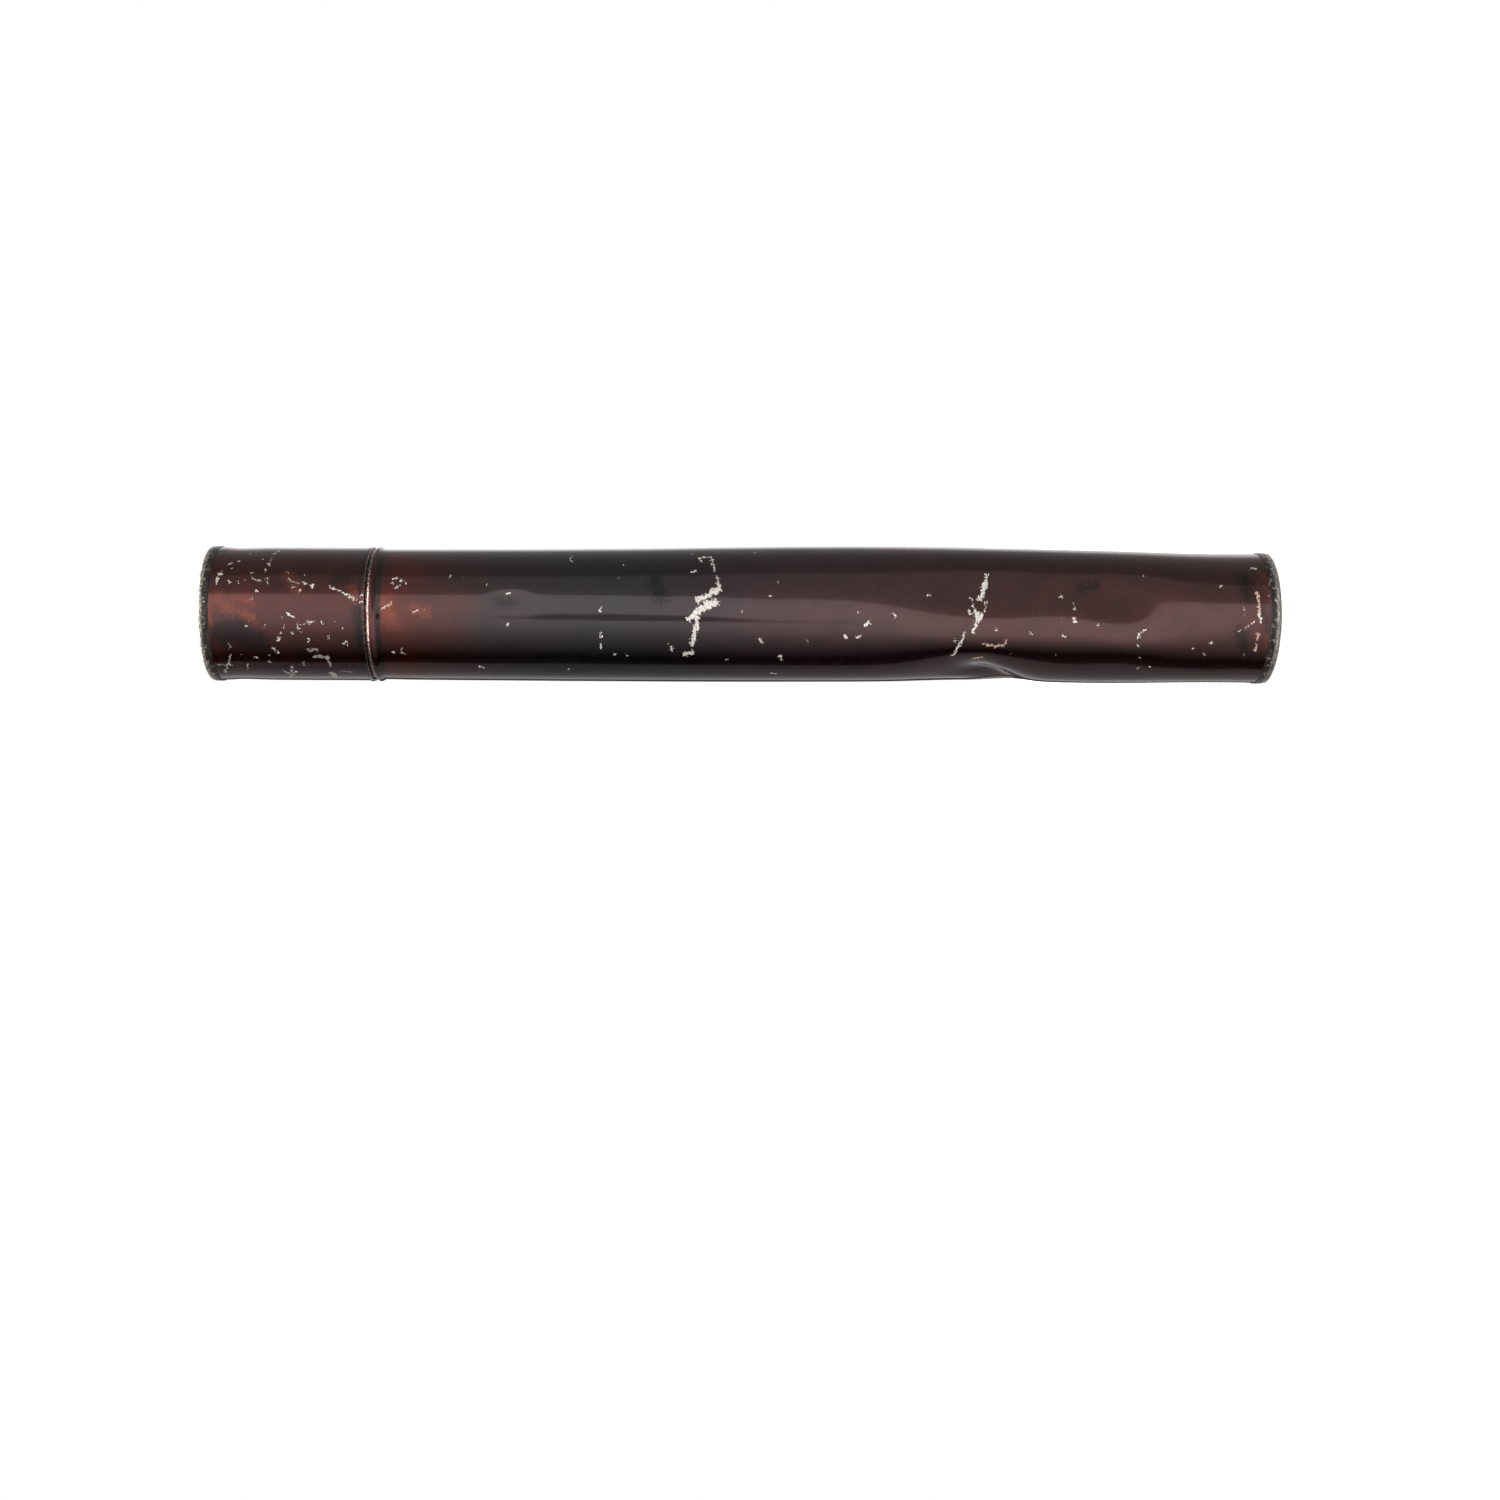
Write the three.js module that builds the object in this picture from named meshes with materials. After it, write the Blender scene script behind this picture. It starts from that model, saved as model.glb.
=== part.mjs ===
// A tin document tube: a long body and a slip-on lid. Each is one tinplate sheet rolled round, lapped and soldered
// along its length, and closed by a flanged cap soldered over its end. The lid slips over the plain neck of the body
// and stops against a bead rolled in the body's wall. The body has a kink and some flattening, as old tubes have.
//
// Millimetres, +Z up. The tube stands on its bottom cap, with the origin at the middle of that cap's underside.
// Turns are degrees round the axis from the front, which faces -Y, and grow towards +X.

import * as THREE from "three";

// The sheet and its side seams
const SHEET = 0.3;
const LAP_WIDTH = 5;
const LAP_RAMP = 7;
const CUT_EDGE = 0.12;
const BODY_SEAM_TURN = -93;
const LID_SEAM_TURN = 150;

// Body
const BODY_RADIUS = 25;
const BEAD_HEIGHT_ABOVE_BASE = 341.8;
const BEAD_WIDTH = 4.2;
const BEAD_RISE = 0.8;

// Lid, and how far the neck inside it stops short of its cap
const LID_CLEARANCE = 0.2;
const LID_DEPTH = 62;
const LID_SEAT_GAP = 0.1;
const LID_HEM = 1.3;
const NECK_SHORT_OF_CAP = 24;

// End caps
const CAP_SKIRT = 3.8;
const CAP_CORNER = 0.9;
const SOLDER_GAP = 0.05;

// How finely round shapes are cut
const COLUMNS = 48;
const CORNER_STEPS = 3;
const BEAD_STEPS = 6;
const PLAIN_STATION = 30;
const KINK_STATION = 5.5;
const FINE_REACH = 2.5;
const LID_STATIONS = [0.4, 0.65, 0.8, 0.9, 1];

// Dents and bulges of the wall, as soft bumps: the height and turn of the middle, how far the bump reaches along and
// round the tube, and how far it pushes the wall out. The kink is the sharp one, and it slants: its middle climbs by
// so many millimetres for each degree of turn. The lid is squeezed from two sides, where the neck no longer backs it.
const KINK = { height: 106.5, turn: -76, along: 9, round: 22, out: -3.4, slant: 0.33 };
const BODY_BUMPS = [
  KINK,
  { height: 117, turn: -68, along: 22, round: 30, out: -1.9 },
  { height: 148, turn: 88, along: 100, round: 50, out: 2.1 },
  { height: 235, turn: -92, along: 100, round: 45, out: 0.5 },
  { height: 185, turn: 20, along: 36, round: 30, out: -0.9 },
  { height: 110, turn: 20, along: 40, round: 26, out: -2.4 },
  { height: 106, turn: -24, along: 40, round: 20, out: 1.6 },
  { height: 62, turn: -92, along: 24, round: 26, out: 0.4 },
  { height: 58, turn: 14, along: 18, round: 24, out: -2 },
  { height: 58, turn: -26, along: 18, round: 18, out: 1.4 },
  { height: 24, turn: 84, along: 24, round: 40, out: -0.4 },
];
const LID_SQUEEZE = { belowCap: 9, turns: [-90, 90], along: 9, round: 60, out: -0.35 };
const BUMP_FADE = 8;

// Heights that follow from the sizes above. Each rolled sheet stops where the round corner of its cap begins.
const bodyFoot = CAP_CORNER;
const beadFoot = BEAD_HEIGHT_ABOVE_BASE - BEAD_WIDTH / 2;
const beadTop = BEAD_HEIGHT_ABOVE_BASE + BEAD_WIDTH / 2;
const lidMouth = beadTop + LID_SEAT_GAP;
const lidTop = lidMouth + LID_DEPTH;
const lidCrown = lidTop - CAP_CORNER;
const bodyMouth = lidTop - SHEET - NECK_SHORT_OF_CAP;
const lidRadius = BODY_RADIUS + LID_CLEARANCE + SHEET;

const lidBumps = LID_SQUEEZE.turns.map((turn) => {
  return { ...LID_SQUEEZE, turn, height: lidCrown - LID_SQUEEZE.belowCap };
});

const bodySeam = { turn: BODY_SEAM_TURN, radius: BODY_RADIUS, inward: true };
const lidSeam = { turn: LID_SEAM_TURN, radius: lidRadius, inward: false };

const degrees = THREE.MathUtils.degToRad;
const smooth = (share) => THREE.MathUtils.smoothstep(share, 0, 1);

// The shortest way from one turn to another, in degrees
function turnBetween(from, to) {
  return THREE.MathUtils.euclideanModulo(to - from + 180, 360) - 180;
}

// How far a set of bumps moves the wall at a turn and height. They die away towards a fixed edge at either end.
function bumpAt(bumps, turn, height, low, high) {
  const clear = smooth((height - low) / BUMP_FADE) * smooth((high - height) / BUMP_FADE);
  let out = 0;
  for (const bump of bumps) {
    const over = turnBetween(bump.turn, turn);
    const middle = bump.height + over * (bump.slant ?? 0);
    const along = (height - middle) / bump.along;
    const round = over / bump.round;
    out += bump.out * Math.exp(-along * along - round * round);
  }
  return out * clear;
}

// A lap seam: how far it moves the outer and the inner face of a rolled sheet. The sheet's far end ramps one
// thickness in (or out) and runs on under (or over) its near end, which is cut off square.
function lapAt(seam, turn) {
  const past = degrees(turnBetween(seam.turn, turn)) * seam.radius;
  const ramp = past >= 0 && past < LAP_RAMP ? SHEET * (1 - smooth(past / LAP_RAMP)) : 0;
  const doubled = past < 0 && past > -LAP_WIDTH ? SHEET : 0;
  return seam.inward
    ? { outer: -ramp, inner: -ramp - doubled }
    : { outer: ramp + doubled, inner: ramp };
}

// The turns at which a rolled wall is cut into columns: evenly round, and at each edge and the ramp of its seam
function columnTurns(seam) {
  const even = Array.from({ length: COLUMNS }, (_, i) => (i * 360) / COLUMNS);
  const atArc = (arc) => seam.turn + THREE.MathUtils.radToDeg(arc / seam.radius);
  const edges = [
    atArc(-LAP_WIDTH - CUT_EDGE / 2),
    atArc(-LAP_WIDTH + CUT_EDGE / 2),
    atArc(-CUT_EDGE),
    atArc(0),
    atArc(LAP_RAMP / 2),
    atArc(LAP_RAMP),
  ];
  const apart = (turn) =>
    edges.every((edge) => Math.abs(turnBetween(edge, turn)) > 90 / COLUMNS);
  const all = [...even.filter(apart), ...edges];
  return all.map((turn) => THREE.MathUtils.euclideanModulo(turn, 360)).sort((a, b) => a - b);
}

// Turns a profile of { radius, height } round the Z axis, with its columns at the given turns, and moves each point
// out by what reshape(point, turn) says. A profile that doesn't start on the axis is closed on itself.
function turned(profile, turns, reshape) {
  const points = profile[0].radius === 0 ? profile : [...profile, profile[0]];
  const line = points.map((point) => new THREE.Vector2(point.radius, point.height));
  const geometry = new THREE.LatheGeometry(line, turns.length);
  const position = geometry.getAttribute("position");
  for (let column = 0; column <= turns.length; column++) {
    const turn = turns[column % turns.length];
    points.forEach((point, row) => {
      const radius = point.radius + reshape(point, turn);
      position.setXYZ(
        column * points.length + row,
        radius * Math.sin(degrees(turn)),
        -radius * Math.cos(degrees(turn)),
        point.height,
      );
    });
  }
  geometry.computeVertexNormals();
  return geometry;
}

// A rolled sheet from the outline of its outer face, which runs upwards. Its inner face lies one thickness inside.
function rolledSheet(outline, seam, bumps, low, high) {
  const outer = outline.map((point) => ({ ...point, side: "outer" }));
  const inner = outline.map((point) => ({
    radius: point.innerRadius ?? point.radius - SHEET,
    height: point.height,
    side: "inner",
  }));
  return turned([...outer, ...inner.reverse()], columnTurns(seam), (point, turn) => {
    return lapAt(seam, turn)[point.side] + bumpAt(bumps, turn, point.height, low, high);
  });
}

// The heights of a plain stretch of wall, close together near the kink and far apart elsewhere
function wallHeights(low, high) {
  const reach = FINE_REACH * KINK.along;
  const stretches = [
    { from: low, to: KINK.height - reach, station: PLAIN_STATION },
    { from: KINK.height - reach, to: KINK.height + reach, station: KINK_STATION },
    { from: KINK.height + reach, to: high, station: PLAIN_STATION },
  ];
  const heights = stretches.flatMap(({ from, to, station }) => {
    const steps = Math.ceil((to - from) / station);
    return Array.from({ length: steps }, (_, i) => THREE.MathUtils.lerp(from, to, i / steps));
  });
  return [...heights, high];
}

function bodyTube() {
  const bead = Array.from({ length: BEAD_STEPS - 1 }, (_, i) => {
    const across = (i + 1) / BEAD_STEPS - 0.5;
    return {
      radius: BODY_RADIUS + BEAD_RISE * Math.cos(Math.PI * across) ** 2,
      height: BEAD_HEIGHT_ABOVE_BASE + across * BEAD_WIDTH,
    };
  });
  const plain = (height) => ({ radius: BODY_RADIUS, height });
  const outline = [
    ...wallHeights(bodyFoot, beadFoot).map(plain),
    ...bead,
    plain(beadTop),
    plain(bodyMouth),
  ];
  return rolledSheet(outline, bodySeam, BODY_BUMPS, CAP_SKIRT, beadFoot);
}

// The lid's mouth is hemmed: its last edge is folded back on the outside, flat against the wall.
function lidTube() {
  const hemTop = lidMouth + LID_HEM;
  const innerRadius = lidRadius - SHEET;
  const outline = [
    { radius: lidRadius + SHEET / 2, height: lidMouth, innerRadius },
    { radius: lidRadius + SHEET, height: lidMouth + SHEET / 2, innerRadius },
    { radius: lidRadius + SHEET, height: hemTop, innerRadius },
    { radius: lidRadius, height: hemTop + CUT_EDGE },
    ...LID_STATIONS.map((share) => ({
      radius: lidRadius,
      height: THREE.MathUtils.lerp(hemTop, lidCrown, share),
    })),
  ];
  return rolledSheet(outline, lidSeam, lidBumps, hemTop, lidTop - CAP_SKIRT);
}

// A flanged cap over the end of a rolled tube: a flat disc, a round corner and a skirt. Its outside lies at the given
// height, and "along" is +1 or -1 as its skirt points up or down. The skirt is dressed over a seam that stands proud.
function flangedCap(seam, outsideHeight, along) {
  const skirtInside = seam.radius + SOLDER_GAP;
  const skirtOutside = skirtInside + SHEET;
  const corner = (radius, from, to) =>
    Array.from({ length: CORNER_STEPS + 1 }, (_, i) => {
      const angle = THREE.MathUtils.lerp(from, to, i / CORNER_STEPS);
      return {
        radius: skirtOutside - CAP_CORNER + radius * Math.sin(angle),
        height: CAP_CORNER - radius * Math.cos(angle),
      };
    });
  const profile = [
    { radius: 0, height: 0 },
    ...corner(CAP_CORNER, 0, Math.PI / 2),
    { radius: skirtOutside, height: CAP_SKIRT },
    { radius: skirtInside, height: CAP_SKIRT },
    ...corner(CAP_CORNER - SHEET, Math.PI / 2, 0),
    { radius: 0, height: SHEET },
  ].map((point) => ({ radius: point.radius, height: outsideHeight + along * point.height }));
  if (along < 0) profile.reverse();
  return turned(profile, columnTurns(seam), (point, turn) => {
    const onSkirt = point.radius > seam.radius;
    return onSkirt && !seam.inward ? lapAt(seam, turn).outer : 0;
  });
}

function lacquered(colour, roughness) {
  return new THREE.MeshStandardMaterial({ color: colour, roughness, metalness: 0.3 });
}

function named(name, geometry, material) {
  const mesh = new THREE.Mesh(geometry, material);
  mesh.name = name;
  return mesh;
}

const brownLacquer = lacquered(0x3a2624, 0.22);
const redBrownLacquer = lacquered(0x4a2724, 0.22);
const wornBlack = lacquered(0x2f2c29, 0.45);

const body = new THREE.Group();
body.add(named("body_tube", bodyTube(), brownLacquer));
body.add(named("body_bottom_cap", flangedCap(bodySeam, 0, 1), wornBlack));

const lid = new THREE.Group();
lid.add(named("lid_tube", lidTube(), redBrownLacquer));
lid.add(named("lid_top_cap", flangedCap(lidSeam, lidTop, -1), wornBlack));

const documentTube = new THREE.Group();
documentTube.add(body, lid);

export default documentTube;
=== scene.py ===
"""A japanned tin document tube: a rolled and soldered body, a slip-on lid and a flanged cap at each end.

The two rolled walls and the two caps stand in for the CAD solids at their own size, with the finish of
old lacquer worn through to bare tin. Sizes are in millimetres until a piece is finished. Turns are degrees
round the axis from the front, which faces -Y, growing towards +X.
"""

import math

import bmesh
import bpy
from mathutils import Matrix, Vector, noise


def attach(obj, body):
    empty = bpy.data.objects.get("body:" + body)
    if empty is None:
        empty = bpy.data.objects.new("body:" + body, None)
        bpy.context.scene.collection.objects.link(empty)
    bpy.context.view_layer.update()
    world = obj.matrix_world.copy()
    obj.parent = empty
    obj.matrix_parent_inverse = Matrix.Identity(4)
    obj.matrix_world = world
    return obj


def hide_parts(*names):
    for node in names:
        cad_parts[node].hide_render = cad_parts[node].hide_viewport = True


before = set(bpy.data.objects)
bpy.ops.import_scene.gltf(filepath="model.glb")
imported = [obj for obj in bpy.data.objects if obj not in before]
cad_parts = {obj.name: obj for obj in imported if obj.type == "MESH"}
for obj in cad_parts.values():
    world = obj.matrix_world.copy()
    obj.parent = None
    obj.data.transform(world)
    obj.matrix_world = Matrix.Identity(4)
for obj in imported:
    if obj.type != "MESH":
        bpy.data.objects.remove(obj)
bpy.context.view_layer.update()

MM = 0.001

# The sheet and its side seams
SHEET = 0.3
LAP_WIDTH = 5
LAP_RAMP = 7
CUT_EDGE = 0.12
ON_EDGE = 0.01
BODY_SEAM_TURN = -93
LID_SEAM_TURN = 150

# Body, lid and caps
BODY_RADIUS = 25
BEAD_HEIGHT = 341.8
BEAD_WIDTH = 4.2
BEAD_RISE = 0.8
LID_CLEARANCE = 0.2
LID_DEPTH = 62
LID_SEAT_GAP = 0.1
LID_HEM = 1.3
NECK_SHORT_OF_CAP = 24
CAP_SKIRT = 3.8
CAP_CORNER = 0.9

BODY_FOOT = CAP_CORNER
BEAD_FOOT = BEAD_HEIGHT - BEAD_WIDTH / 2
BEAD_TOP = BEAD_HEIGHT + BEAD_WIDTH / 2
LID_MOUTH = BEAD_TOP + LID_SEAT_GAP
LID_TOP = LID_MOUTH + LID_DEPTH
LID_CROWN = LID_TOP - CAP_CORNER
HEM_TOP = LID_MOUTH + LID_HEM
NECK_TOP = LID_TOP - SHEET - NECK_SHORT_OF_CAP
LID_RADIUS = BODY_RADIUS + LID_CLEARANCE + SHEET

# The cut edge of a cap's skirt, and the solder between it and the wall
SKIRT_EDGE_DEEP = 0.12
SKIRT_EDGE_ACROSS = 0.1
SOLDER_GAP = 0.05
SOLDER_FOOT = 0.35
SOLDER_ON_EDGE = 0.05
SOLDER_INTO_WALL = 0.02
SOLDER_AT_WALL = 0.4
SOLDER_AT_SKIRT = 0.5

# How finely the round shapes are cut
SPOKES = 192
STATION = 3
BEAD_CUTS = 13
NECK_CUTS = 5
DISC_CUTS = 9
CORNER_CUTS = 6
SHARP_TURN = 38
MERGE_WITHIN = 0.002
CUT_WITHIN = 0.001

# The heights between which each finish of a wall's front reaches, and how far round the front goes
BODY_ZONES = [0, 51, 81, 120, 201, 246, 306, LID_TOP]
LID_ZONES = [LID_MOUTH, 366, 387, LID_TOP]
FRONT_HALF_TURN = 88

# Dents and bulges: height and turn of the middle, reach along and round the tube, and how far out the wall
# moves. The middle of the kink climbs with the turn.
KINK = (106.5, -76, 9, 22, -3.4)
KINK_SLANT = 0.33
BODY_BUMPS = [
    KINK,
    (117, -68, 22, 30, -1.9),
    (148, 88, 100, 50, 2.1),
    (235, -92, 100, 45, 0.5),
    (185, 20, 36, 30, -0.9),
    (110, 20, 40, 26, -2.4),
    (106, -24, 40, 20, 1.6),
    (62, -92, 24, 26, 0.4),
    (58, 14, 18, 24, -2),
    (58, -26, 18, 18, 1.4),
    (24, 84, 24, 40, -0.4),
]
LID_BUMPS = [
    (LID_CROWN - 9, -90, 9, 60, -0.35),
    (LID_CROWN - 9, 90, 9, 60, -0.35),
]
BUMP_FADE = 8

# The unevenness of a sheet rolled by hand: how long its waves are and how deep
BODY_WAVE = (16, 0.09)
LID_WAVE = (13, 0.08)
WAVE_UP_TUBE = 0.6

# Knocks in a cap's skirt and waves in its disc: how deep, how far from the edge, and how long
SKIRT_REACH_IN = 0.5
SKIRT_KNOCK = 0.05
SKIRT_KNOCK_REACH = 1.5
DISC_WAVE = 0.09
DISC_FLAT_EDGE = 2
DISC_WAVE_REACH = 5
CAP_WAVE_LENGTH = 9

# Camera: where it stands, how far it tips towards the foot of the tube and turns about its line of sight
PICTURE_SIDE = 1500
PIXELS_PER_SLOPE = 1950
SENSOR_SIDE = 36
CAMERA_PLACE = Vector((-51.85, -755, 212.9))
TIP_IN_PIXELS = 35
ROLL_SLOPE = 0.00365
CAMERA_TIP = math.atan(TIP_IN_PIXELS / PIXELS_PER_SLOPE)
CAMERA_ROLL = math.atan(ROLL_SLOPE)
NEAREST_SEEN = 0.01
FARTHEST_SEEN = 50


def smooth(share):
    """An even rise from 0 to 1."""
    share = min(max(share, 0), 1)
    return share * share * (3 - 2 * share)


def turn_between(start, end):
    """The shortest way from one turn to another, in degrees."""
    return (end - start + 180) % 360 - 180


def turn_of(place):
    """The turn of a place round the axis, in degrees."""
    return math.degrees(math.atan2(place.x, -place.y))


def clear_of_ends(height, low, high):
    """1 along a wall, falling to 0 at the two heights where it has a fixed edge."""
    return smooth((height - low) / BUMP_FADE) * smooth((high - height) / BUMP_FADE)


def bump_out(bumps, turn, height, low, high):
    """How far the dents and bulges move the wall at one place."""
    out = 0
    for bump in bumps:
        middle, middle_turn, along, round_reach, push = bump
        over = turn_between(middle_turn, turn)
        if bump is KINK:
            middle += over * KINK_SLANT
        out += push * math.exp(-((height - middle) / along) ** 2 - (over / round_reach) ** 2)
    return out * clear_of_ends(height, low, high)


def lap_shift(seam_turn, radius, inward, turn):
    """How far a lap seam moves the outer and the inner face of a rolled sheet."""
    past = math.radians(turn_between(seam_turn, turn)) * radius + ON_EDGE
    ramp = SHEET * (1 - smooth(past / LAP_RAMP)) if 0 <= past < LAP_RAMP else 0
    doubled = SHEET if -LAP_WIDTH < past < (ON_EDGE - CUT_EDGE) / 2 else 0
    return (-ramp, -ramp - doubled) if inward else (ramp + doubled, ramp)


# The camera, and where a place in the picture lies on the tube

def camera_axes():
    """The camera's right, up and forward directions. The tube's top lies to the left of the picture."""
    forward = Vector((0, math.cos(CAMERA_TIP), -math.sin(CAMERA_TIP)))
    level_right = Vector((0, -math.sin(CAMERA_TIP), -math.cos(CAMERA_TIP)))
    level_up = Vector((1, 0, 0))
    right = level_right * math.cos(CAMERA_ROLL) + level_up * math.sin(CAMERA_ROLL)
    up = level_up * math.cos(CAMERA_ROLL) - level_right * math.sin(CAMERA_ROLL)
    return right, up, forward


def place_on_wall(x, y, radius):
    """The place on a round wall that shows at a picture position: how far round it and how high."""
    right, up, forward = camera_axes()
    half = PICTURE_SIDE / 2
    sight = forward * PIXELS_PER_SLOPE + right * (x - half) + up * (half - y)
    a = sight.x ** 2 + sight.y ** 2
    b = CAMERA_PLACE.x * sight.x + CAMERA_PLACE.y * sight.y
    c = CAMERA_PLACE.x ** 2 + CAMERA_PLACE.y ** 2 - radius ** 2
    reach = (-b - math.sqrt(max(b * b - a * c, 0))) / a
    seen = CAMERA_PLACE + sight * reach
    return Vector((math.atan2(seen.x, -seen.y) * radius, seen.z, 0))


def set_camera():
    right, up, forward = camera_axes()
    data = bpy.data.cameras.new("camera")
    data.sensor_width = SENSOR_SIDE
    data.lens = SENSOR_SIDE * PIXELS_PER_SLOPE / PICTURE_SIDE
    data.clip_start = NEAREST_SEEN
    data.clip_end = FARTHEST_SEEN
    camera = bpy.data.objects.new("camera", data)
    turned = Matrix((right, up, -forward)).transposed().to_4x4()
    camera.matrix_world = Matrix.Translation(CAMERA_PLACE * MM) @ turned
    bpy.context.scene.collection.objects.link(camera)
    bpy.context.scene.camera = camera


# Laying shader nodes

class Finish:
    """Lays the nodes of one material, node group or world."""

    def __init__(self, tree):
        self.tree = tree

    def put(self, kind, inputs=None, **settings):
        """One node, with the values or sockets that it is fed."""
        made = self.tree.nodes.new(kind)
        for name, value in settings.items():
            setattr(made, name, value)
        for key, value in (inputs or {}).items():
            self.feed(made.inputs[key], value)
        return made

    def feed(self, socket, value):
        if isinstance(value, bpy.types.NodeSocket):
            self.tree.links.new(value, socket)
        else:
            socket.default_value = value

    def maths(self, operation, *values, clamp=False):
        numbered = dict(enumerate(values))
        return self.put("ShaderNodeMath", numbered, operation=operation, use_clamp=clamp).outputs[0]

    def product(self, first, *others):
        for other in others:
            first = self.maths("MULTIPLY", first, other)
        return first

    def most(self, first, *others):
        for other in others:
            first = self.maths("MAXIMUM", first, other)
        return first

    def rest(self, share):
        """What a share leaves of the whole."""
        return self.maths("SUBTRACT", 1.0, share)

    def vector(self, operation, *values, scale=None):
        numbered = dict(enumerate(values))
        made = self.put("ShaderNodeVectorMath", numbered, operation=operation)
        if scale is not None:
            self.feed(made.inputs["Scale"], scale)
        return made.outputs["Value" if operation in ("LENGTH", "DOT_PRODUCT") else "Vector"]

    def between(self, value, low, high, to_low=0.0, to_high=1.0, even=False):
        """A rise or fall between two values, smooth unless it is to be even."""
        inputs = {
            "Value": value,
            "From Min": low,
            "From Max": high,
            "To Min": to_low,
            "To Max": to_high,
        }
        kind = "LINEAR" if even else "SMOOTHSTEP"
        return self.put("ShaderNodeMapRange", inputs, interpolation_type=kind).outputs[0]

    def tone(self, share, first, second):
        """Two colours mixed."""
        made = self.put("ShaderNodeMix", data_type="RGBA")
        self.feed(made.inputs[0], share)
        self.feed(made.inputs[6], first)
        self.feed(made.inputs[7], second)
        return made.outputs[2]

    def blend(self, share, first, second):
        """Two numbers mixed."""
        made = self.put("ShaderNodeMix", data_type="FLOAT")
        self.feed(made.inputs[0], share)
        self.feed(made.inputs[2], first)
        self.feed(made.inputs[3], second)
        return made.outputs[0]

    def grain(self, place, scale, detail=2.0, roughness=0.5, stretch=None, output="Fac"):
        """Noise, as numbers or as colours."""
        if stretch is not None:
            place = self.vector("MULTIPLY", place, stretch)
        inputs = {"Vector": place, "Scale": scale, "Detail": detail, "Roughness": roughness}
        return self.put("ShaderNodeTexNoise", inputs).outputs[output]

    def ramp(self, value, stops):
        made = self.put("ShaderNodeValToRGB", {"Fac": value})
        points = made.color_ramp.elements
        while len(points) < len(stops):
            points.new(0.5)
        for point, (where, colour) in zip(points, stops):
            point.position = where
            point.color = colour
        return made.outputs["Color"]

    def bump(self, strength, distance, height, normal=None):
        inputs = {"Strength": strength, "Distance": distance, "Height": height}
        if normal is not None:
            inputs["Normal"] = normal
        return self.put("ShaderNodeBump", inputs).outputs[0]


def nick_group():
    """A short nick.

    The place on the wall goes through it, with the distance to the nearest nick so far as its Z.
    """
    tree = bpy.data.node_groups.new("nick", "ShaderNodeTree")
    for name in ("Place", "Start", "Run", "Share"):
        tree.interface.new_socket(name, in_out="INPUT", socket_type="NodeSocketVector")
    tree.interface.new_socket("Half", in_out="INPUT", socket_type="NodeSocketFloat")
    tree.interface.new_socket("Place", in_out="OUTPUT", socket_type="NodeSocketVector")
    nick = Finish(tree)
    given = nick.put("NodeGroupInput").outputs
    parts = nick.put("ShaderNodeSeparateXYZ", {"Vector": given["Place"]}).outputs
    flat = nick.put("ShaderNodeCombineXYZ", {"X": parts["X"], "Y": parts["Y"]}).outputs[0]
    from_start = nick.vector("SUBTRACT", flat, given["Start"])
    share = nick.vector("DOT_PRODUCT", from_start, given["Share"])
    share = nick.maths("ADD", share, 0.0, clamp=True)
    reached = nick.vector("SCALE", given["Run"], scale=share)
    off = nick.vector("LENGTH", nick.vector("SUBTRACT", from_start, reached))
    edge = nick.maths("SUBTRACT", off, given["Half"])
    nearest = nick.maths("MINIMUM", edge, parts["Z"])
    passed_on = nick.put("ShaderNodeCombineXYZ", {"X": parts["X"], "Y": parts["Y"], "Z": nearest})
    nick.put("NodeGroupOutput", {"Place": passed_on.outputs[0]})
    return tree


NICK = nick_group()
PIXEL_ON_WALL = 0.3744
SHORTEST_NICK = 0.05
FAR_OFF = 50.0


def within(nicks, low, high, radius, margin):
    """The nicks that reach into a stretch of the wall, so that each finish carries only its own."""
    kept = []
    for nick in nicks:
        x0, y0, x1, y1, half = nick
        heights = (place_on_wall(x0, y0, radius).y, place_on_wall(x1, y1, radius).y)
        spread = margin + half * PIXEL_ON_WALL
        if min(heights) - spread < high and max(heights) + spread > low:
            kept.append(nick)
    return kept


def nearest_nick(finish, place, nicks, radius):
    """The distance in millimetres to the edge of the nearest of a list of nicks.

    A nick runs between two picture positions and has half a width in picture pixels: (x, y, x, y, half).
    """
    if not nicks:
        return FAR_OFF
    place = finish.vector("ADD", place, (0.0, 0.0, FAR_OFF))
    for x0, y0, x1, y1, half in nicks:
        start = place_on_wall(x0, y0, radius)
        run = place_on_wall(x1, y1, radius) - start
        if run.length < SHORTEST_NICK:
            run = Vector((SHORTEST_NICK, 0, 0))
        group = finish.put("ShaderNodeGroup", node_tree=NICK)
        finish.feed(group.inputs["Place"], place)
        finish.feed(group.inputs["Start"], start)
        finish.feed(group.inputs["Run"], run)
        finish.feed(group.inputs["Share"], run / run.length_squared)
        finish.feed(group.inputs["Half"], half * PIXEL_ON_WALL)
        place = group.outputs[0]
    return finish.put("ShaderNodeSeparateXYZ", {"Vector": place}).outputs["Z"]


# Chips, scratches, stains and painted shade, as (x, y, x, y, half width), placed on the picture

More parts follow.
